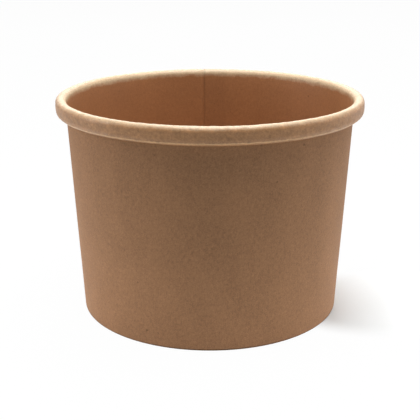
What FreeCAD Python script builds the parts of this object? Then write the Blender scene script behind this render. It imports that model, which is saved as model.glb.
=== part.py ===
import FreeCAD, Part
import Sketcher
import math
import os

# Paper ice cream tub. A tapered wall is wrapped from one sheet of kraft board, lapped and glued at
# the back. Its top edge is rolled outward into a rim, and its foot is folded in and up as a hem.
# A disc of the same board, turned down at its edge, is held between the wall and the hem.
# The origin is at the middle of the foot, +Z is up, and the seam is at +Y.

driving_sizes = {
    "rim_diameter": 98.0,
    "tub_height": 70.0,
    "foot_inside_diameter": 83.4,
    "board_thickness": 0.40,
    "curl_width": 3.6,
    "curl_band_height": 1.7,
    "curl_under_radius": 2.4,
    "curl_under_turn": 55.0,
    "curl_end_gap": 0.05,
    "curl_end_length": 0.9,
    "hem_height": 6.8,
    "hem_fold_radius": 0.1,
    "disc_board_thickness": 0.40,
    "disc_top_height": 8.2,
    "disc_bend_radius": 0.5,
    "skirt_end_gap": 0.1,
    "seam_lap_angle": 10.0,
    "seam_step_angle": 2.4,
}

doc = FreeCAD.newDocument("paper_tub")

# The driving dimensions are in millimetres and degrees.
sheet = doc.addObject("Spreadsheet::Sheet", "dims")
for row, (alias, number) in enumerate(driving_sizes.items(), start=1):
    sheet.set("A%d" % row, alias)
    sheet.set("B%d" % row, str(number))
    sheet.setAlias("B%d" % row, alias)
doc.recompute()

RIM_RADIUS = "dims.rim_diameter / 2"
ROLL_RADIUS = "dims.curl_width / 2"
ROLL_CENTRE_HEIGHT = "dims.tub_height - dims.curl_width / 2"
FOOT_RADIUS = "dims.foot_inside_diameter / 2"
BOARD = "dims.board_thickness"
FOLD_CENTRE_HEIGHT = "dims.board_thickness + dims.hem_fold_radius"
# The tucked end of the roll leaves room beside the wall for both layers of the lap.
TUCK_RADIUS = "dims.rim_diameter / 2 - dims.curl_width + 2 * dims.board_thickness + dims.curl_end_gap"


def value_of(expression):
    """The number that an expression on the driving dimensions gives."""
    return float(sheet.evalExpression(expression))


# Each outline is first drawn near its true shape, from the places that these functions give.
# Its constraints then hold it to the driving dimensions.

def point(radius, height):
    return FreeCAD.Vector(radius, height, 0)


def wall_frame():
    """Foot point of the wall's inside line, and the directions up along it and out from it."""
    foot = point(value_of(FOOT_RADIUS), 0)
    roll_centre = point(value_of(RIM_RADIUS) - value_of(ROLL_RADIUS), value_of(ROLL_CENTRE_HEIGHT))
    reach = roll_centre - foot
    lean = math.atan2(reach.x, reach.y) - math.asin(value_of(ROLL_RADIUS) / reach.Length)
    up = point(math.sin(lean), math.cos(lean))
    out = point(math.cos(lean), -math.sin(lean))
    return foot, roll_centre, up, out


def beside_wall(inward, height):
    """Point at a height, a distance in from the wall's inside line."""
    foot, _, up, out = wall_frame()
    return foot - out * inward + up * ((height + inward * out.y) / up.y)


def arc(centre, radius, start_angle, end_angle):
    circle = Part.Circle(centre, FreeCAD.Vector(0, 0, 1), radius)
    return Part.ArcOfCircle(circle, start_angle, end_angle)


# Sketches on upright planes, bound to the driving dimensions

def new_sketch(body, name, turn):
    """Upright sketch through the tub's axis, turned about it from the +Y side by an angle."""
    sketch = body.newObject("Sketcher::SketchObject", name)
    upright = [plane for plane in body.Origin.OriginFeatures if plane.Role == "YZ_Plane"][0]
    sketch.AttachmentSupport = [(upright, "")]
    sketch.MapMode = "FlatFace"
    about_axis = FreeCAD.Rotation(FreeCAD.Vector(0, 1, 0), value_of(turn))
    sketch.AttachmentOffset = FreeCAD.Placement(FreeCAD.Vector(), about_axis)
    sketch.setExpression("AttachmentOffset.Rotation.Angle", turn)
    return sketch


def dimension(sketch, kind, places, expression):
    """Dimensional constraint whose value is an expression on the driving dimensions."""
    number = value_of(expression)
    if kind == "Angle":
        number = math.radians(number)
    index = sketch.addConstraint(Sketcher.Constraint(kind, *places, number))
    sketch.setExpression("Constraints[%d]" % index, expression)


def relation(sketch, kind, *places):
    sketch.addConstraint(Sketcher.Constraint(kind, *places))


START = 1
END = 2
CENTRE = 3
ORIGIN = (-1, 1)


def wall_guide(sketch):
    """Construction lines of the wall: its inside line leans from the foot to the roll of the rim."""
    foot, roll_centre, _, _ = wall_frame()
    circle = Part.Circle(roll_centre, FreeCAD.Vector(0, 0, 1), value_of(ROLL_RADIUS))
    roll = sketch.addGeometry(circle, True)
    line = sketch.addGeometry(Part.LineSegment(foot, beside_wall(0, roll_centre.y)), True)
    dimension(sketch, "DistanceX", (*ORIGIN, roll, CENTRE), "%s - %s" % (RIM_RADIUS, ROLL_RADIUS))
    dimension(sketch, "DistanceY", (*ORIGIN, roll, CENTRE), ROLL_CENTRE_HEIGHT)
    dimension(sketch, "Radius", (roll,), ROLL_RADIUS)
    relation(sketch, "PointOnObject", line, START, -1)
    dimension(sketch, "DistanceX", (*ORIGIN, line, START), FOOT_RADIUS)
    relation(sketch, "Horizontal", line, END, roll, CENTRE)
    relation(sketch, "Tangent", line, roll)
    return line, roll


# Side wall: one sheet, from the flap of its hem to the tucked end of its rolled rim

def draw_board_face(sketch, layers):
    """First drawing of a face of the board. Returns its lines and arcs in order."""
    _, roll_centre, up, out = wall_frame()
    lean = math.atan2(up.x, up.y)
    depth = layers * value_of(BOARD)
    roll = value_of(ROLL_RADIUS) - depth
    fold = value_of("dims.hem_fold_radius")
    disc_board = value_of("dims.disc_board_thickness")
    under = value_of("dims.curl_under_radius")
    turn = math.radians(value_of("dims.curl_under_turn"))
    rim = value_of(RIM_RADIUS)
    tuck = value_of(TUCK_RADIUS)
    end_radius = (rim - tuck - under * (1 - math.cos(turn))) / (1 + math.cos(turn))

    inner_fold = beside_wall(disc_board - fold, value_of(FOLD_CENTRE_HEIGHT))
    outer_fold = beside_wall(fold, value_of(FOLD_CENTRE_HEIGHT))
    flap_top = beside_wall(disc_board + depth, value_of("dims.hem_height"))
    across = out * (fold + depth)
    drop = point(0, -fold - depth)
    band_top = point(rim - depth, roll_centre.y)
    band_foot = point(rim - depth, roll_centre.y - value_of("dims.curl_band_height"))
    under_centre = point(rim - under, band_foot.y)
    end_centre = under_centre + point(math.cos(turn), -math.sin(turn)) * (under - end_radius)
    end_foot = point(tuck + depth, end_centre.y)
    end_top = end_foot + point(0, value_of("dims.curl_end_length"))

    flap = Part.LineSegment(flap_top, inner_fold - across)
    fold_in = arc(inner_fold, fold + depth, math.pi - lean, 1.5 * math.pi)
    sole = Part.LineSegment(inner_fold + drop, outer_fold + drop)
    fold_up = arc(outer_fold, fold + depth, -0.5 * math.pi, -lean)
    wall = Part.LineSegment(outer_fold + across, roll_centre - out * roll)
    over = arc(roll_centre, roll, 0, math.pi - lean)
    band = Part.LineSegment(band_top, band_foot)
    below = arc(under_centre, under - depth, -turn, 0)
    back_up = arc(end_centre, end_radius - depth, -math.pi, -turn)
    end = Part.LineSegment(end_foot, end_top)
    return sketch.addGeometry([flap, fold_in, sole, fold_up, wall, over, band, below, back_up, end])


def board_face(sketch, guide, roll, layers):
    """One face of the wrapped board, a number of layers out from the board's inside face.

    It runs down the hem's flap, round the fold at the foot, up the wall, over the roll of the rim,
    down its band, under it and up beside the wall. Returns its first and last lines.
    """
    flap, fold_in, sole, fold_up, wall, over, band, below, back_up, end = draw_board_face(sketch, layers)

    relation(sketch, "Tangent", flap, END, fold_in, START)
    relation(sketch, "Tangent", fold_in, END, sole, START)
    relation(sketch, "Tangent", sole, END, fold_up, START)
    relation(sketch, "Tangent", fold_up, END, wall, START)
    relation(sketch, "Tangent", wall, END, over, END)
    relation(sketch, "Tangent", over, START, band, START)
    relation(sketch, "Tangent", band, END, below, END)
    relation(sketch, "Tangent", below, START, back_up, END)
    relation(sketch, "Tangent", back_up, START, end, START)

    relation(sketch, "Parallel", flap, guide)
    relation(sketch, "Horizontal", sole)
    relation(sketch, "Equal", fold_in, fold_up)
    dimension(sketch, "DistanceY", (*ORIGIN, fold_up, CENTRE), FOLD_CENTRE_HEIGHT)
    dimension(sketch, "Radius", (fold_up,), "dims.hem_fold_radius + %d * %s" % (layers, BOARD))
    dimension(sketch, "Distance", (fold_up, CENTRE, guide), "dims.hem_fold_radius")
    dimension(sketch, "Distance", (fold_in, CENTRE, guide),
              "dims.disc_board_thickness - dims.hem_fold_radius")
    relation(sketch, "Coincident", over, CENTRE, roll, CENTRE)
    dimension(sketch, "Radius", (over,), "%s - %d * %s" % (ROLL_RADIUS, layers, BOARD))
    relation(sketch, "Vertical", band)
    dimension(sketch, "DistanceY", (band, END, band, START), "dims.curl_band_height")
    dimension(sketch, "Radius", (below,), "dims.curl_under_radius - %d * %s" % (layers, BOARD))
    dimension(sketch, "Angle", (below,), "dims.curl_under_turn")
    relation(sketch, "Vertical", end)
    dimension(sketch, "DistanceX", (*ORIGIN, end, START), "%s + %d * %s" % (TUCK_RADIUS, layers, BOARD))
    return flap, end


def board_section(body, name, inner_layer, outer_layer, turn):
    """Closed section of the board between two of its faces, on a plane through the axis."""
    sketch = new_sketch(body, name, turn)
    guide, roll = wall_guide(sketch)
    inner_flap, inner_end = board_face(sketch, guide, roll, inner_layer)
    outer_flap, outer_end = board_face(sketch, guide, roll, outer_layer)
    dimension(sketch, "DistanceY", (*ORIGIN, inner_flap, START), "dims.hem_height")
    dimension(sketch, "DistanceY", (inner_end, START, inner_end, END), "dims.curl_end_length")
    for inner, outer, corner in ((inner_flap, outer_flap, START), (inner_end, outer_end, END)):
        ends = [sketch.getPoint(inner, corner), sketch.getPoint(outer, corner)]
        cut_edge = sketch.addGeometry(Part.LineSegment(*ends))
        relation(sketch, "Coincident", cut_edge, START, inner, corner)
        relation(sketch, "Coincident", cut_edge, END, outer, corner)
        relation(sketch, "Perpendicular", cut_edge, inner)
    return sketch


def wrap(body, name, section, angle):
    """The board wrapped about the tub's axis from a section, clockwise as seen from above."""
    turn = body.newObject("PartDesign::Revolution", name)
    turn.Profile = section
    turn.ReferenceAxis = (section, ["V_Axis"])
    turn.Reversed = True
    turn.Angle = value_of(angle)
    turn.setExpression("Angle", angle)
    doc.recompute()


def build_side_wall():
    body = doc.addObject("PartDesign::Body", "side_wall")
    body.Label = "side_wall"

    # Two layers, from the inner cut edge at +Y to the outer cut edge
    lap_section = board_section(body, "lap_section", 0, 2, "0")
    wrap(body, "lap", lap_section, "dims.seam_lap_angle")

    # One layer, on round the tub
    wall_section = board_section(body, "wall_section", 0, 1, "-dims.seam_lap_angle")
    wrap(body, "wrap", wall_section, "360 - dims.seam_lap_angle - dims.seam_step_angle")

    # The step by which the sheet climbs over its own inner cut edge
    step_start = board_section(body, "step_start", 0, 1, "dims.seam_step_angle")
    step_end = board_section(body, "step_end", 1, 2, "0")
    step = body.newObject("PartDesign::AdditiveLoft", "step")
    step.Profile = step_start
    step.Sections = [step_end]
    step.Ruled = True
    doc.recompute()

    # The lapped foot is pressed flat, level with the rest
    press_section = new_sketch(body, "press_section", "0")
    low = -2 * value_of(BOARD)
    rim = value_of(RIM_RADIUS)
    corners = [point(0, 0), point(0, low), point(rim, low), point(rim, 0)]
    sides = []
    for index in range(4):
        sides.append(press_section.addGeometry(Part.LineSegment(corners[index - 1], corners[index])))
    for index in range(4):
        relation(press_section, "Coincident", sides[index - 1], END, sides[index], START)
    table_side, axis_side, low_side, outer_side = sides
    relation(press_section, "Horizontal", table_side)
    relation(press_section, "Vertical", axis_side)
    relation(press_section, "Horizontal", low_side)
    relation(press_section, "Vertical", outer_side)
    relation(press_section, "Coincident", axis_side, START, *ORIGIN)
    dimension(press_section, "DistanceX", (*ORIGIN, table_side, START), RIM_RADIUS)
    dimension(press_section, "DistanceY", (axis_side, END, axis_side, START), "2 * " + BOARD)
    press = body.newObject("PartDesign::Groove", "press")
    press.Profile = press_section
    press.ReferenceAxis = (press_section, ["V_Axis"])
    press.Angle = 360
    doc.recompute()
    return body


# Base disc: its turned-down skirt fills the room between the wall and the flap of the hem

def build_base_disc():
    body = doc.addObject("PartDesign::Body", "base_disc")
    body.Label = "base_disc"
    section = new_sketch(body, "disc_section", "0")
    guide, _ = wall_guide(section)
    _, _, up, out = wall_frame()
    board = value_of("dims.disc_board_thickness")
    top = value_of("dims.disc_top_height")
    bend = value_of("dims.disc_bend_radius")
    end_height = value_of("%s + dims.skirt_end_gap" % FOLD_CENTRE_HEIGHT)
    lean = math.atan2(up.x, up.y)

    bend_centre = beside_wall(board + bend, top - board - bend)
    edge_outer = beside_wall(0, end_height)
    edge_inner = edge_outer - out * board
    axis_top = point(0, top)
    axis_low = point(0, top - board)
    top_corner = bend_centre + point(0, bend + board)
    low_corner = bend_centre + point(0, bend)

    upper = section.addGeometry(Part.LineSegment(axis_top, top_corner))
    outer_bend = section.addGeometry(arc(bend_centre, bend + board, -lean, 0.5 * math.pi))
    outside = section.addGeometry(Part.LineSegment(bend_centre + out * (bend + board), edge_outer))
    cut_edge = section.addGeometry(Part.LineSegment(edge_outer, edge_inner))
    inside = section.addGeometry(Part.LineSegment(edge_inner, bend_centre + out * bend))
    inner_bend = section.addGeometry(arc(bend_centre, bend, -lean, 0.5 * math.pi))
    lower = section.addGeometry(Part.LineSegment(low_corner, axis_low))
    middle = section.addGeometry(Part.LineSegment(axis_low, axis_top))

    relation(section, "Tangent", upper, END, outer_bend, END)
    relation(section, "Tangent", outer_bend, START, outside, START)
    relation(section, "Coincident", outside, END, cut_edge, START)
    relation(section, "Coincident", cut_edge, END, inside, START)
    relation(section, "Tangent", inside, END, inner_bend, START)
    relation(section, "Tangent", inner_bend, END, lower, START)
    relation(section, "Coincident", lower, END, middle, START)
    relation(section, "Coincident", middle, END, upper, START)

    relation(section, "Horizontal", upper)
    relation(section, "Horizontal", lower)
    relation(section, "Parallel", outside, guide)
    relation(section, "Parallel", inside, guide)
    relation(section, "Vertical", middle)
    relation(section, "PointOnObject", middle, START, -2)
    relation(section, "Perpendicular", cut_edge, outside)
    relation(section, "Coincident", outer_bend, CENTRE, inner_bend, CENTRE)
    dimension(section, "DistanceY", (*ORIGIN, upper, START), "dims.disc_top_height")
    dimension(section, "Radius", (inner_bend,), "dims.disc_bend_radius")
    dimension(section, "Radius", (outer_bend,), "dims.disc_bend_radius + dims.disc_board_thickness")
    dimension(section, "Distance", (inner_bend, CENTRE, guide),
              "dims.disc_bend_radius + dims.disc_board_thickness")
    dimension(section, "DistanceY", (*ORIGIN, outside, END), "%s + dims.skirt_end_gap" % FOLD_CENTRE_HEIGHT)

    disc = body.newObject("PartDesign::Revolution", "disc")
    disc.Profile = section
    disc.ReferenceAxis = (section, ["V_Axis"])
    disc.Angle = 360
    doc.recompute()
    return body


pieces = [build_side_wall(), build_base_disc()]
doc.recompute()

for item in doc.Objects:
    if "Invalid" in item.State or "Error" in item.State:
        raise RuntimeError("%s could not be built" % item.Label)
for piece in pieces:
    if piece.Shape.isNull() or not piece.Shape.isValid() or len(piece.Shape.Solids) != 1:
        raise RuntimeError("%s is not one sound solid" % piece.Label)

os.makedirs("parts", exist_ok=True)
for piece in pieces:
    piece.Shape.exportStep("parts/%s.step" % piece.Label)
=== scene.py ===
import math
import random

import bpy
import numpy as np
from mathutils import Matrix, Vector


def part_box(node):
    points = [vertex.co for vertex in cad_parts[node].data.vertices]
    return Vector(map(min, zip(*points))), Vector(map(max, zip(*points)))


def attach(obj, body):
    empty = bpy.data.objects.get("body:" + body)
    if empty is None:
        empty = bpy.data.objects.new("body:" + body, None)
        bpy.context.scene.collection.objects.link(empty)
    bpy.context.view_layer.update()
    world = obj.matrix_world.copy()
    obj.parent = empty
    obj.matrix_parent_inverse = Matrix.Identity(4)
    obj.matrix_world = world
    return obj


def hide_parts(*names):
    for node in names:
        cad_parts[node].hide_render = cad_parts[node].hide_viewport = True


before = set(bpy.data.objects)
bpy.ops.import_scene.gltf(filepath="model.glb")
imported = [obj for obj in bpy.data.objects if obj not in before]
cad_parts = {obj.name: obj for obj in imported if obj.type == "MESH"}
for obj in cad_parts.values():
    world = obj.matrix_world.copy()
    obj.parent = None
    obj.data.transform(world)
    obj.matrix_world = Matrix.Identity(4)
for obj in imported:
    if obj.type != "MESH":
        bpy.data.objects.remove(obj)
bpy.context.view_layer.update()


# Side wall
#
# One die-cut sheet of brown kraft board, thinly coated on its inner face for food. It is wrapped
# clockwise into a tapered tube and glued along an 8 mm lap at the back. The top edge is rolled
# outward into the rim, and the bottom edge is folded in and up as the hem that holds the base.

wall_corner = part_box("side_wall")[1]
MESH_SLACK = 0.00003
RIM_RADIUS = wall_corner.x - MESH_SLACK
TUB_HEIGHT = wall_corner.z
FOOT_INSIDE_RADIUS = 0.0417
BOARD = 0.00040
ROLL_RADIUS = 0.0018
BAND_HEIGHT = 0.0017
UNDER_RADIUS = 0.0024
UNDER_TURN = math.radians(55)
TUCK_GAP = 0.00005
TUCK_LENGTH = 0.0009
HEM_HEIGHT = 0.0068
FOLD_RADIUS = 0.0001
BASE_BOARD = 0.00040
LAP = math.radians(10)
STEP = math.radians(1.6)
GLUE = 0.00001
THINNED_EDGE = 0.5
THINNED_WIDTH = math.radians(4)
FULL_TURN = 2 * math.pi

roll_centre = np.array([RIM_RADIUS - ROLL_RADIUS, TUB_HEIGHT - ROLL_RADIUS])
foot_point = np.array([FOOT_INSIDE_RADIUS, 0.0])
reach = roll_centre - foot_point
LEAN = math.atan2(reach[0], reach[1]) - math.asin(ROLL_RADIUS / math.hypot(*reach))
up_wall = np.array([math.sin(LEAN), math.cos(LEAN)])
out_wall = np.array([math.cos(LEAN), -math.sin(LEAN)])


def beside_wall(inward, height):
    """Radius and height of a point at a height, a distance in from the wall's inner face."""
    along = (height + inward * out_wall[1]) / up_wall[1]
    return foot_point - out_wall * inward + up_wall * along


def straight(start, end, steps):
    """Points along a straight run of board, and the way through the board at each."""
    share = np.linspace(0, 1, steps + 1)[:, None]
    way = (end - start) / math.hypot(*(end - start))
    through = np.array([way[1], -way[0]])
    return start + share * (end - start), np.repeat(through[None], steps + 1, 0)


def bend(centre, radius, first, last, steps):
    """Points round a bend of board. Folds turn left about the inner face, and rolls turn right."""
    angle = np.linspace(first, last, steps + 1)
    spoke = np.stack([np.cos(angle), np.sin(angle)], 1)
    return centre + radius * spoke, spoke * (1 if last > first else -1)


def joined(runs):
    """Joins runs of board end to end, with each shared point once."""
    places = np.concatenate([runs[0][0]] + [run[0][1:] for run in runs[1:]])
    through = np.concatenate([runs[0][1]] + [run[1][1:] for run in runs[1:]])
    return places, through


def wall_section():
    """The inner face of the board as a line of radius and height, from the hem to the tuck."""
    tuck = RIM_RADIUS - 2 * ROLL_RADIUS + 2 * BOARD + TUCK_GAP
    rest_of_width = RIM_RADIUS - tuck - UNDER_RADIUS * (1 - math.cos(UNDER_TURN))
    end_radius = rest_of_width / (1 + math.cos(UNDER_TURN))
    fold_height = BOARD + FOLD_RADIUS
    inner_fold = beside_wall(BASE_BOARD - FOLD_RADIUS, fold_height)
    outer_fold = beside_wall(FOLD_RADIUS, fold_height)
    drop = np.array([0, -FOLD_RADIUS])
    fold_reach = out_wall * FOLD_RADIUS
    roll_reach = out_wall * ROLL_RADIUS
    band_top = roll_centre + np.array([ROLL_RADIUS, 0])
    band_foot = np.array([RIM_RADIUS, roll_centre[1] - BAND_HEIGHT])
    under_centre = band_foot - np.array([UNDER_RADIUS, 0])
    aside = np.array([math.cos(UNDER_TURN), -math.sin(UNDER_TURN)])
    end_centre = under_centre + aside * (UNDER_RADIUS - end_radius)
    end_foot = np.array([tuck, end_centre[1]])
    tuck_top = end_foot + np.array([0, TUCK_LENGTH])
    return joined([
        straight(beside_wall(BASE_BOARD, HEM_HEIGHT), inner_fold - fold_reach, steps=5),
        bend(inner_fold, FOLD_RADIUS, math.pi - LEAN, 1.5 * math.pi, steps=4),
        straight(inner_fold + drop, outer_fold + drop, steps=2),
        bend(outer_fold, FOLD_RADIUS, -0.5 * math.pi, -LEAN, steps=4),
        straight(outer_fold + fold_reach, roll_centre - roll_reach, steps=34),
        bend(roll_centre, ROLL_RADIUS, math.pi - LEAN, 0, steps=20),
        straight(band_top, band_foot, steps=5),
        bend(under_centre, UNDER_RADIUS, 0, -UNDER_TURN, steps=14),
        bend(end_centre, end_radius, -UNDER_TURN, -math.pi, steps=9),
        straight(end_foot, tuck_top, steps=2),
    ])


wall_path, wall_through = wall_section()
RUN_LENGTH = np.concatenate([[0], np.cumsum(np.hypot(*np.diff(wall_path, axis=0).T))])
CREST_RUN = RUN_LENGTH[np.argmax(wall_path[:, 1])]
QUARTER_ROLL = 0.5 * math.pi * ROLL_RADIUS
LIP_SHARE = 0.62
LIP_RUN = CREST_RUN + QUARTER_ROLL + BAND_HEIGHT + LIP_SHARE * UNDER_TURN * UNDER_RADIUS


def ease(share):
    """Smooth rise from 0 to 1."""
    share = np.clip(share, 0, 1)
    return share * share * (3 - 2 * share)


def ripple(angle, counts, seed, along=0.0):
    """Uneven value between 0 and 1 that closes up round the tub, and drifts along the board."""
    dice = random.Random(seed)
    total = 0
    weight = 0
    for count in counts:
        strength = dice.uniform(0.5, 1.0)
        drift = dice.uniform(-1.0, 1.0)
        start = dice.uniform(0, FULL_TURN)
        total = total + strength * np.sin(count * angle + drift * along + start)
        weight += strength
    return 0.5 + 0.5 * total / weight


WALL_WAVE = 0.00012
WALL_WAVES = (3, 5, 8)
WAVE_SLANT = 4
STIFF_FOOT = 0.010
WAVE_RISE = 0.020
ROLL_WAVE = 0.00010
ROLL_WAVES = (5, 9, 13, 19, 27)
ROLL_PUCKER = 0.00014
ROLL_PUCKERS = (43, 59, 71, 89, 103, 131)
PUCKER_DRIFT = 2200
ROLL_START = 0.001
LIP_BEAD = 0.00008
LIP_BEADS = (7, 12, 29, 37)
LIP_WIDTH = 0.00032
LIP_LEAST = 0.6
LIP_SWELL = 0.8


def hand_made(turn):
    """How far the board stands off its ideal place, through its thickness."""
    radius, height = wall_path.T[:, None]
    angle = (turn % FULL_TURN)[:, None]
    run = RUN_LENGTH[None]
    above_foot = ease((height - STIFF_FOOT) / WAVE_RISE)
    over_wall = ease((height - roll_centre[1] + ROLL_START) / ROLL_START)
    outside_wall = ease((radius - roll_centre[0]) / ROLL_START)
    on_roll = np.clip(over_wall + outside_wall, 0, 1)
    slanted = angle + WAVE_SLANT * height
    wall = WALL_WAVE * ripple(slanted, WALL_WAVES, seed=3) * above_foot * (1 - on_roll)
    roll = ROLL_WAVE * ripple(angle, ROLL_WAVES, seed=5)
    pucker = ROLL_PUCKER * ripple(angle, ROLL_PUCKERS, seed=8, along=PUCKER_DRIFT * run)
    on_lip = np.exp(-((run - LIP_RUN) / LIP_WIDTH) ** 2)
    bead = LIP_BEAD * on_lip * (LIP_LEAST + LIP_SWELL * ripple(angle, LIP_BEADS, seed=12))
    return wall + (roll + pucker) * on_roll - bead


INSIDE, OUTSIDE, CUT = 0, 1, 2
FACE_APART = 0.05
SHARP_FOLD = math.radians(50)


def board_piece(name, points, sheet_places, faces, finishes):
    """A piece of board from its mesh, with its place on the flat sheet kept at every point."""
    mesh = bpy.data.meshes.new(name)
    mesh.from_pydata(points.tolist(), [], faces)
    mesh.polygons.foreach_set("material_index", finishes)
    place = mesh.attributes.new("sheet_place", "FLOAT_VECTOR", "POINT")
    place.data.foreach_set("vector", sheet_places.ravel())
    mesh.shade_smooth()
    mesh.set_sharp_from_angle(angle=SHARP_FOLD)
    mesh.update()
    piece = bpy.data.objects.new(name, mesh)
    bpy.context.scene.collection.objects.link(piece)
    return piece


def spaced_turns():
    """Turns round the whole sheet, set closer where its edges lap and where it steps over."""
    stretches = (
        (0, THINNED_WIDTH, 8),
        (THINNED_WIDTH, LAP, 8),
        (LAP, LAP + STEP, 6),
        (LAP + STEP, FULL_TURN - STEP, 400),
        (FULL_TURN - STEP, FULL_TURN, 8),
        (FULL_TURN, FULL_TURN + THINNED_WIDTH, 8),
        (FULL_TURN + THINNED_WIDTH, FULL_TURN + LAP, 8),
    )
    turns = [np.linspace(start, stop, steps + 1)[:-1] for start, stop, steps in stretches]
    return np.concatenate(turns + [[FULL_TURN + LAP]])


def wrapped_sheet(name):
    """The whole sheet as one closed mesh. Its last 10 degrees lie outside its first 10."""
    turn = spaced_turns()
    from_edge = np.where(turn < FULL_TURN, turn, turn - FULL_TURN)
    thinned = THINNED_EDGE + (1 - THINNED_EDGE) * ease(from_edge / THINNED_WIDTH)
    thickness = np.where(turn < LAP, thinned, 1.0)
    step_up = THINNED_EDGE * ease((turn - FULL_TURN + STEP) / STEP)
    climb = np.where(turn < FULL_TURN, step_up, thinned)
    step_down = thinned * (1 - ease((turn - LAP) / STEP))
    stacked = 1 + np.where(turn < LAP + STEP, step_down, climb)
    unevenness = hand_made(turn)
    columns, rows = len(turn), len(wall_path)
    azimuth = (math.pi / 2 - turn)[:, None]
    points = []
    sheet_places = []
    for side in (0, 1):
        depth = (climb + side * thickness)[:, None] * BOARD + climb[:, None] * GLUE + unevenness
        radius = wall_path[:, 0][None] + depth * wall_through[:, 0][None]
        height = wall_path[:, 1][None] + depth * wall_through[:, 1][None]
        pressed = BOARD - (BOARD - height) / stacked[:, None]
        height = np.where(height < BOARD, np.maximum(pressed, 0), height)
        points.append(np.stack([radius * np.cos(azimuth), radius * np.sin(azimuth), height], 2))
        across = np.repeat((turn * RIM_RADIUS)[:, None], rows, 1)
        along = np.repeat(RUN_LENGTH[None], columns, 0)
        face = np.full_like(across, FACE_APART * side)
        sheet_places.append(np.stack([across, along, face], 2))
    points = np.concatenate([side.reshape(-1, 3) for side in points])
    sheet_places = np.concatenate([side.reshape(-1, 3) for side in sheet_places])

    inner = np.arange(columns * rows).reshape(columns, rows)
    outer = inner + columns * rows
    faces = []
    finishes = []
    for skin, flip, finish in ((inner, False, INSIDE), (outer, True, OUTSIDE)):
        corners = [skin[:-1, :-1], skin[1:, :-1], skin[1:, 1:], skin[:-1, 1:]]
        faces.append(np.stack(corners[::-1] if flip else corners, 2).reshape(-1, 4))
        finishes.append(np.full(len(faces[-1]), finish))
    for near, far in (
        (inner[:, 0], outer[:, 0]),
        (outer[:, -1], inner[:, -1]),
        (outer[0], inner[0]),
        (inner[-1], outer[-1]),
    ):
        faces.append(np.stack([near[:-1], far[:-1], far[1:], near[1:]], 1))
        finishes.append(np.full(len(faces[-1]), CUT))
    faces = np.concatenate(faces).tolist()
    return board_piece(name, points, sheet_places, faces, np.concatenate(finishes))


def add_node(owner, kind, settings, **inputs):
    """Adds a shader node. An input is a plain value or another node's output. Inputs go by
    name, or as i0, i1 and so on by their place."""
    node = owner.node_tree.nodes.new(kind)
    for setting, value in settings.items():
        setattr(node, setting, value)
    for socket_name, value in inputs.items():
        by_place = socket_name[0] == "i" and socket_name[1:].isdigit()
        key = int(socket_name[1:]) if by_place else socket_name.replace("_", " ")
        if isinstance(value, bpy.types.NodeSocket):
            owner.node_tree.links.new(value, node.inputs[key])
        else:
            node.inputs[key].default_value = value
    return node


def calculated(owner, operation, *values):
    """Result of a sum on signals and plain values."""
    inputs = {"i%d" % place: value for place, value in enumerate(values)}
    return add_node(owner, "ShaderNodeMath", {"operation": operation}, **inputs).outputs[0]


def graded(owner, value, start, stop, low, high, kind="SMOOTHSTEP"):
    """Goes from low to high while a signal goes from start to stop, and is level outside."""
    return add_node(owner, "ShaderNodeMapRange", {"interpolation_type": kind}, Value=value,
                    From_Min=start, From_Max=stop, To_Min=low, To_Max=high).outputs[0]


def place_on_sheet(material):
    """Where a point of the board lies on the flat sheet."""
    place = add_node(material, "ShaderNodeAttribute", {"attribute_name": "sheet_place"})
    return place.outputs["Vector"]


FACE_STRETCH = 1000.0


def stretched_place(material, turn, across, along):
    """The place on the flat sheet, turned by an angle and scaled differently each way."""
    turned = add_node(material, "ShaderNodeVectorRotate", {"rotation_type": "Z_AXIS"},
                      Vector=place_on_sheet(material), Angle=math.radians(turn))
    scaled = add_node(material, "ShaderNodeVectorMath", {"operation": "MULTIPLY"},
                      i0=turned.outputs["Vector"], i1=(across, along, FACE_STRETCH))
    return scaled.outputs["Vector"]


def streaks(material, turn, across, along, detail):
    """Uneven streaks on the sheet, between 0 and 1."""
    noise = add_node(material, "ShaderNodeTexNoise", {},
                     Vector=stretched_place(material, turn, across, along),
                     Scale=1.0, Detail=detail, Roughness=0.6, Distortion=0.4)
    return noise.outputs["Fac"]


def scaled_sum(material, parts):
    """Sum of signals about their middle value, each times a strength."""
    total = None
    for signal, strength in parts:
        centred = calculated(material, "MULTIPLY_ADD", signal, strength, -0.5 * strength)
        total = centred if total is None else calculated(material, "ADD", total, centred)
    return total


def specks(material, turn, across, along, share, size):
    """Small flecks in a share of the cells of a net: 1 on a fleck and 0 between them."""
    cells = add_node(material, "ShaderNodeTexVoronoi", {"feature": "F1"},
                     Vector=stretched_place(material, turn, across, along),
                     Scale=1.0, Randomness=1.0)
    lot = add_node(material, "ShaderNodeSeparateColor", {}, Color=cells.outputs["Color"])
    chosen = calculated(material, "LESS_THAN", lot.outputs[0], share)
    reach_out = calculated(material, "MULTIPLY", lot.outputs[1], size)
    core = graded(material, cells.outputs["Distance"], 0.0, reach_out, low=1.0, high=0.0)
    return calculated(material, "MULTIPLY", chosen, core)


CREST_SPAN = 0.004
# Width of the painted highlight along the lip.
LIP_HIGHLIGHT_CORE = 0.00008
LIP_HIGHLIGHT_REACH = 0.00034


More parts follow.
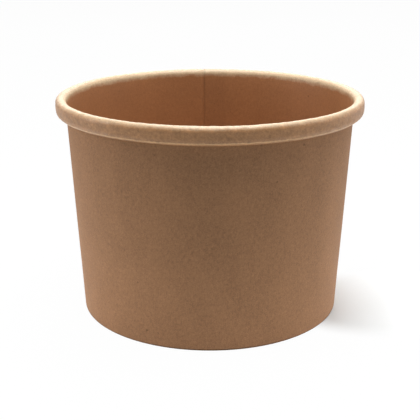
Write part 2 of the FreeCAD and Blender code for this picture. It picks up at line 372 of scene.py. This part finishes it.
def rolled_colour(material, wall_colour, crest_highlight_colour, rim_colour, lip_highlight_colour):
    """The coated face, with a ragged painted highlight on the roll's crest, a paler outer face,
    and a painted highlight along the lip.
    """
    along_sheet = add_node(material, "ShaderNodeSeparateXYZ", {},
                           Vector=place_on_sheet(material)).outputs[1]
    ragged = scaled_sum(material, (
        (streaks(material, turn=0, across=220, along=260, detail=2), 0.0015),
        (streaks(material, turn=0, across=900, along=800, detail=1), 0.0006),
    ))
    moved = calculated(material, "ADD", along_sheet, ragged)
    # The band round the crest is a painted highlight, with ragged edges.
    run = graded(material, moved, CREST_RUN - CREST_SPAN, CREST_RUN + CREST_SPAN,
                 low=0.0, high=1.0, kind="LINEAR")
    ramp = add_node(material, "ShaderNodeValToRGB", {}, Fac=run)
    bands = ramp.color_ramp.elements
    stops = ((0.02, wall_colour), (0.18, crest_highlight_colour), (0.57, crest_highlight_colour), (0.77, rim_colour))
    for index, (share, colour) in enumerate(stops):
        band = bands[index] if index < 2 else bands.new(share)
        band.position = share
        band.color = (*colour, 1)
    # Painted highlight: a thin pale line along the lip, for the light that the table throws up at
    # the bottom of the roll.
    off_lip = calculated(material, "ABSOLUTE",
                         calculated(material, "SUBTRACT", along_sheet, LIP_RUN))
    painted_lip_highlight = graded(material, off_lip, LIP_HIGHLIGHT_CORE, LIP_HIGHLIGHT_REACH, low=1.0, high=0.0)
    lip_highlighted = add_node(material, "ShaderNodeMix", {"data_type": "RGBA"},
                     i0=painted_lip_highlight, i6=ramp.outputs["Color"], i7=(*lip_highlight_colour, 1))
    return lip_highlighted.outputs[2]


ROLL_BEGINS = CREST_RUN - 0.0004
ROLL_FULL = CREST_RUN + 0.0012
LAP_END = LAP * RIM_RADIUS
LAP_FADE_START = LAP_END - 0.0008
LAP_FADE_STOP = LAP_END + 0.0006
# Width and depth of the painted shadow at the lap's cut edge.
EDGE_SHADOW_START = 0.0002
EDGE_SHADOW_STOP = 0.0006
EDGE_SHADOW_DEPTH = 2.5
FLECK_DARKER = -0.60
FIBRE_PALER = 0.16
GLOSS_SPREAD = 0.06
COAT_ROUGHNESS = 0.20
PRESSED_CORE = 0.0008
PRESSED_REACH = 0.0024


def kraft_board(name, colour, roughness, specular, coat, mottling, relief, lap_painted_shade_depth=0.0,
                rolled=None):
    """Brown kraft board: cloudy formation, crossing fibres, bark flecks and a felted surface."""
    material = bpy.data.materials.new(name)
    material.use_nodes = True
    shader = material.node_tree.nodes["Principled BSDF"]
    sheet = add_node(material, "ShaderNodeSeparateXYZ", {}, Vector=place_on_sheet(material))
    across_sheet, along_sheet = sheet.outputs[0], sheet.outputs[1]

    cloud = streaks(material, turn=0, across=90, along=60, detail=3)
    formation = streaks(material, turn=0, across=900, along=800, detail=2)
    grain = streaks(material, turn=0, across=2800, along=700, detail=2)
    left_fibres = streaks(material, turn=62, across=3600, along=900, detail=1)
    right_fibres = streaks(material, turn=-55, across=3300, along=800, detail=1)
    felt = streaks(material, turn=20, across=3600, along=3200, detail=2)
    tone = scaled_sum(material, (
        (cloud, 0.22 * mottling), (formation, 0.28 * mottling), (grain, 0.34 * mottling),
        (left_fibres, 0.26 * mottling), (right_fibres, 0.26 * mottling), (felt, 0.42 * mottling),
    ))
    if rolled:
        on_roll = graded(material, along_sheet, ROLL_BEGINS, ROLL_FULL, low=0.0, high=1.0,
                         kind="LINEAR")
        creased = scaled_sum(material, (
            (streaks(material, turn=15, across=330, along=620, detail=3), 0.70),
            (streaks(material, turn=-20, across=1300, along=1000, detail=2), 0.55),
        ))
        tone = calculated(material, "MULTIPLY_ADD", creased, on_roll, tone)
    bark = specks(material, turn=35, across=300, along=420, share=0.05, size=0.24)
    pale_fibres = specks(material, turn=-25, across=900, along=210, share=0.10, size=0.10)
    tone = calculated(material, "ADD", tone, 1.0)
    tone = calculated(material, "MULTIPLY_ADD", bark, FLECK_DARKER, tone)
    tone = calculated(material, "MULTIPLY_ADD", pale_fibres, FIBRE_PALER, tone)

    # Painted shade: the band where the board lies double is darker, for the light that shines
    # through one layer but less through two.
    painted_shade_on_lap = graded(material, across_sheet, LAP_FADE_START, LAP_FADE_STOP,
                   low=1 - lap_painted_shade_depth, high=1.0)
    # Painted shadow: a thin dark line at the inner layer's cut edge, for the shade in the step of
    # the board there.
    painted_edge_shadow = graded(material, across_sheet, EDGE_SHADOW_START, EDGE_SHADOW_STOP,
                       low=1 - EDGE_SHADOW_DEPTH * lap_painted_shade_depth, high=1.0)
    tone = calculated(material, "MULTIPLY", tone,
                      calculated(material, "MULTIPLY", painted_shade_on_lap, painted_edge_shadow))
    tint = rolled_colour(material, colour, *rolled) if rolled else colour
    shade = add_node(material, "ShaderNodeVectorMath", {"operation": "SCALE"},
                     i0=tint, Scale=tone)
    material.node_tree.links.new(shade.outputs["Vector"], shader.inputs["Base Color"])

    gloss = graded(material, formation, 0.3, 0.7, low=roughness - GLOSS_SPREAD,
                   high=roughness + GLOSS_SPREAD, kind="LINEAR")
    if rolled:
        off_crest = calculated(material, "ABSOLUTE",
                               calculated(material, "SUBTRACT", along_sheet, CREST_RUN))
        pressed = graded(material, off_crest, PRESSED_CORE, PRESSED_REACH, low=0.76, high=1.05)
        gloss = calculated(material, "MULTIPLY", gloss, pressed)
    material.node_tree.links.new(gloss, shader.inputs["Roughness"])
    height = scaled_sum(material, (
        (left_fibres, 0.6), (right_fibres, 0.6), (felt, 0.8), (grain, 0.5),
    ))
    bump = add_node(material, "ShaderNodeBump", {}, Strength=1.0, Distance=relief, Height=height)
    material.node_tree.links.new(bump.outputs["Normal"], shader.inputs["Normal"])
    shader.inputs["Specular IOR Level"].default_value = specular
    shader.inputs["Coat Weight"].default_value = coat
    shader.inputs["Coat Roughness"].default_value = COAT_ROUGHNESS
    return material


COATED_BROWN = (0.325, 0.142, 0.0555)
# Painted highlight: the pale cream of the roll's crest stands in for the strong light from above
# on it.
CREST_PAINTED_HIGHLIGHT = (0.500, 0.360, 0.218)
RIM_BROWN = (0.375, 0.190, 0.082)
# Colour of the painted highlight along the lip.
LIP_PAINTED_HIGHLIGHT = (0.520, 0.310, 0.150)
BARE_BROWN = (0.311, 0.158, 0.0755)
CUT_BROWN = (0.370, 0.215, 0.120)

side_wall = wrapped_sheet("wrapped_kraft_wall")
coated_kraft = kraft_board("coated_kraft_inside", COATED_BROWN, roughness=0.50, specular=0.36,
                           coat=0.10, mottling=1.0, relief=0.00003, lap_painted_shade_depth=0.06,
                           rolled=(CREST_PAINTED_HIGHLIGHT, RIM_BROWN, LIP_PAINTED_HIGHLIGHT))
bare_kraft = kraft_board("bare_kraft_outside", BARE_BROWN, roughness=0.80, specular=0.28,
                         coat=0.0, mottling=1.5, relief=0.00005)
cut_kraft = kraft_board("cut_kraft_edge", CUT_BROWN, roughness=0.90, specular=0.25,
                        coat=0.0, mottling=1.4, relief=0.00006)
for material in (coated_kraft, bare_kraft, cut_kraft):
    side_wall.data.materials.append(material)
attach(side_wall, "root")
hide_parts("side_wall")


# Base disc
#
# A round of the same board with its coated face up. Its edge is turned down as a skirt, which
# stands between the wall and the flap of the hem, so the floor of the tub is 8 mm off the table.

FLOOR_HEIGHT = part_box("base_disc")[1].z
SKIRT_FOOT = BOARD + 2 * FOLD_RADIUS
SKIRT_BEND = 0.0005
SAG = 0.00015
FIT = 0.00001
BASE_COLUMNS = 240
MIDDLE_SHARE = 0.02
BASE_SHEET_PLACE = (0.1, 0, 0)


def base_section():
    """The lower face of the disc, from the foot of its skirt nearly to its middle."""
    bend_height = FLOOR_HEIGHT - BASE_BOARD - SKIRT_BEND
    bend_centre = beside_wall(BASE_BOARD + SKIRT_BEND + FIT, bend_height)
    skirt_foot = beside_wall(BASE_BOARD - FIT, SKIRT_FOOT)
    crown = np.array([0.0, FLOOR_HEIGHT - BASE_BOARD])
    shoulder = bend_centre + np.array([0, SKIRT_BEND])
    return joined([
        straight(skirt_foot, bend_centre + out_wall * SKIRT_BEND, steps=4),
        bend(bend_centre, SKIRT_BEND, -LEAN, 0.5 * math.pi, steps=6),
        straight(shoulder, crown + (shoulder - crown) * MIDDLE_SHARE, steps=24),
    ])


def skirted_disc(name):
    """The disc and its skirt as one closed mesh, turned from the section of the board."""
    path, through = base_section()
    azimuth = np.arange(BASE_COLUMNS) * FULL_TURN / BASE_COLUMNS
    rows = len(path)
    from_middle = np.clip(path[:, 0] / FOOT_INSIDE_RADIUS, 0, 1)
    points = []
    for side in (0, 1):
        depth = side * (BASE_BOARD - 2 * FIT)
        radius = path[:, 0] + depth * through[:, 0]
        height = path[:, 1] + depth * through[:, 1] - SAG * (1 - from_middle ** 2)
        across = np.outer(np.cos(azimuth), radius)
        back = np.outer(np.sin(azimuth), radius)
        up = np.repeat(height[None], BASE_COLUMNS, 0)
        points.append(np.stack([across, back, up], 2).reshape(-1, 3))
        points.append(np.array([[0, 0, height[-1]]]))
    points = np.concatenate(points)

    half = BASE_COLUMNS * rows + 1
    faces = []
    finishes = []
    for side, finish in ((0, OUTSIDE), (1, INSIDE)):
        skin = side * half + np.arange(BASE_COLUMNS * rows).reshape(BASE_COLUMNS, rows)
        after = np.roll(skin, -1, 0)
        middle = np.full(BASE_COLUMNS, side * half + BASE_COLUMNS * rows)
        corners = [skin[:, :-1], after[:, :-1], after[:, 1:], skin[:, 1:]]
        quads = np.stack(corners, 2).reshape(-1, 4)
        fan = np.stack([skin[:, -1], after[:, -1], middle], 1)
        if side == 0:
            quads, fan = quads[:, ::-1], fan[:, ::-1]
        faces.extend(quads.tolist() + fan.tolist())
        finishes.extend([finish] * (len(quads) + len(fan)))
    under = np.arange(BASE_COLUMNS) * rows
    over = under + half
    ring = np.stack([under, np.roll(under, -1), np.roll(over, -1), over], 1)
    faces.extend(ring.tolist())
    finishes.extend([CUT] * len(ring))
    return board_piece(name, points, points + BASE_SHEET_PLACE, faces, finishes)


base_disc = skirted_disc("kraft_base_disc")
for material in (coated_kraft, bare_kraft, cut_kraft):
    base_disc.data.materials.append(material)
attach(base_disc, "root")
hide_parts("base_disc")


# Table
#
# A plain white sheet that the tub stands on. It is seen nearly white, with the tub's shadow kept
# on it, and the light that it throws back is that of white card.

TABLE_HALF = 2.0
CARD_WHITE = (0.83, 0.86, 0.87, 1)
SHADOW_PLACE = (0.062, -0.0116, 0.0)
SHADOW_FLATTER = (1.0, 1.45, 1.0)
SHADOW_CORE = 0.028
SHADOW_REACH = 0.044
SHADOW_SHARE = 0.97
FAINT_SHARE = 0.02


def seen_share(owner):
    """1 for what the camera sees, also in a mirror or through glass, and 0 for other light."""
    ray = add_node(owner, "ShaderNodeLightPath", {})
    share = ray.outputs["Is Camera Ray"]
    for kind in ("Is Glossy Ray", "Is Transmission Ray"):
        share = calculated(owner, "MAXIMUM", share, ray.outputs[kind])
    return share


card = bpy.data.materials.new("white_card")
card.use_nodes = True
card.node_tree.nodes.remove(card.node_tree.nodes["Principled BSDF"])
paper = add_node(card, "ShaderNodeBsdfDiffuse", {}, Color=CARD_WHITE)
glow = add_node(card, "ShaderNodeEmission", {}, Color=(1, 1, 1, 1), Strength=1.0)
spot = add_node(card, "ShaderNodeTexCoord", {})
flatter = add_node(card, "ShaderNodeVectorMath", {"operation": "MULTIPLY"},
                   i0=spot.outputs["Object"], i1=SHADOW_FLATTER)
away = add_node(card, "ShaderNodeVectorMath", {"operation": "DISTANCE"},
                i0=flatter.outputs["Vector"], i1=SHADOW_PLACE)
white_share = graded(card, away.outputs["Value"], SHADOW_CORE, SHADOW_REACH,
                     low=1 - SHADOW_SHARE, high=1 - FAINT_SHARE)
blend = add_node(card, "ShaderNodeMixShader", {},
                 Fac=calculated(card, "MULTIPLY", seen_share(card), white_share),
                 i1=paper.outputs[0], i2=glow.outputs[0])
surface = card.node_tree.nodes["Material Output"].inputs["Surface"]
card.node_tree.links.new(blend.outputs[0], surface)

table_corners = [(-TABLE_HALF, -TABLE_HALF, 0), (TABLE_HALF, -TABLE_HALF, 0),
                 (TABLE_HALF, TABLE_HALF, 0), (-TABLE_HALF, TABLE_HALF, 0)]
table_mesh = bpy.data.meshes.new("white_table")
table_mesh.from_pydata(table_corners, [], [(0, 1, 2, 3)])
table_mesh.materials.append(card)
table = bpy.data.objects.new("white_table", table_mesh)
bpy.context.scene.collection.objects.link(table)


# Studio
#
# White surroundings that light nothing, and soft boxes over the tub, behind it and at both sides.
# Weak strips low at both sides, and a round one that shines up from the table, stand for the light
# that a white table throws up at the rim and the wall.

world = bpy.data.worlds.new("white_studio")
bpy.context.scene.world = world
world.use_nodes = True
surroundings = world.node_tree.nodes["Background"]
surroundings.inputs["Color"].default_value = (1, 1, 1, 1)
world.node_tree.links.new(seen_share(world), surroundings.inputs["Strength"])

LIGHT_TURN = math.radians(-2.7)
SOFT_BOXES = (
    # name, then its place across, back and up, its width and height, and its power
    ("over_box", 0.0, -0.060, 0.30, 0.15, 0.15, 0.49),
    ("over_back_box", 0.0, 0.12, 0.36, 0.20, 0.20, 0.78),
    ("over_left_box", -0.14, 0.0, 0.38, 0.20, 0.20, 0.15),
    ("over_right_box", 0.14, 0.0, 0.38, 0.20, 0.20, 0.52),
    ("back_box", 0.0, 0.74, 0.46, 0.90, 0.30, 2.1),
    ("left_box", -0.80, 0.0, 0.33, 0.30, 0.70, 2.80),
    ("right_box", 0.80, 0.0, 0.33, 0.30, 0.70, 1.34),
    ("right_rear_box", 0.45, 0.22, 0.10, 0.20, 0.20, 0.14),
    ("left_low_strip", -0.11, 0.0, 0.010, 0.12, 0.018, 0.013),
    ("right_low_strip", 0.11, 0.0, 0.010, 0.12, 0.018, 0.011),
    ("table_glow", 0.0, 0.0, 0.0006, 0.16, 0.16, 0.036),
)
FACING_UP = (0, 1, 0, 0)


def soft_box(name, across, back, height, width, tall, power):
    """Soft box turned towards the tub, by its place as the camera sees the studio."""
    lamp = bpy.data.lights.new(name, "AREA")
    lamp.shape = "RECTANGLE"
    lamp.size = width
    lamp.size_y = tall
    lamp.energy = power
    box = bpy.data.objects.new(name, lamp)
    turn = Matrix.Rotation(LIGHT_TURN, 3, "Z")
    box.location = turn @ Vector((across, back, height))
    aim = Vector((0, 0, min(height, TUB_HEIGHT / 2))) - box.location
    box.rotation_mode = "QUATERNION"
    box.rotation_quaternion = aim.to_track_quat("-Z", "Y")
    box.visible_camera = False
    bpy.context.scene.collection.objects.link(box)
    return box


boxes = {row[0]: soft_box(*row) for row in SOFT_BOXES}
boxes["table_glow"].data.shape = "DISK"
boxes["table_glow"].rotation_quaternion = FACING_UP


# Camera
#
# It stands in front and looks down on the rim, a little to one side of the seam.

CAMERA_BACK = 0.29192
CAMERA_HEIGHT = 0.12571
CAMERA_ASIDE = math.radians(2.7)
CAMERA_DOWN = math.radians(18.026)
CAMERA_LENS = 79.22
CAMERA_FILM = 36.0

camera_data = bpy.data.cameras.new("front_camera")
camera_data.lens = CAMERA_LENS
camera_data.sensor_width = CAMERA_FILM
camera = bpy.data.objects.new("front_camera", camera_data)
camera.location = (-CAMERA_BACK * math.sin(CAMERA_ASIDE), -CAMERA_BACK * math.cos(CAMERA_ASIDE),
                   CAMERA_HEIGHT)
camera.rotation_euler = (math.pi / 2 - CAMERA_DOWN, 0, -CAMERA_ASIDE)
bpy.context.scene.collection.objects.link(camera)
bpy.context.scene.camera = camera
bpy.context.scene.view_settings.view_transform = "Standard"
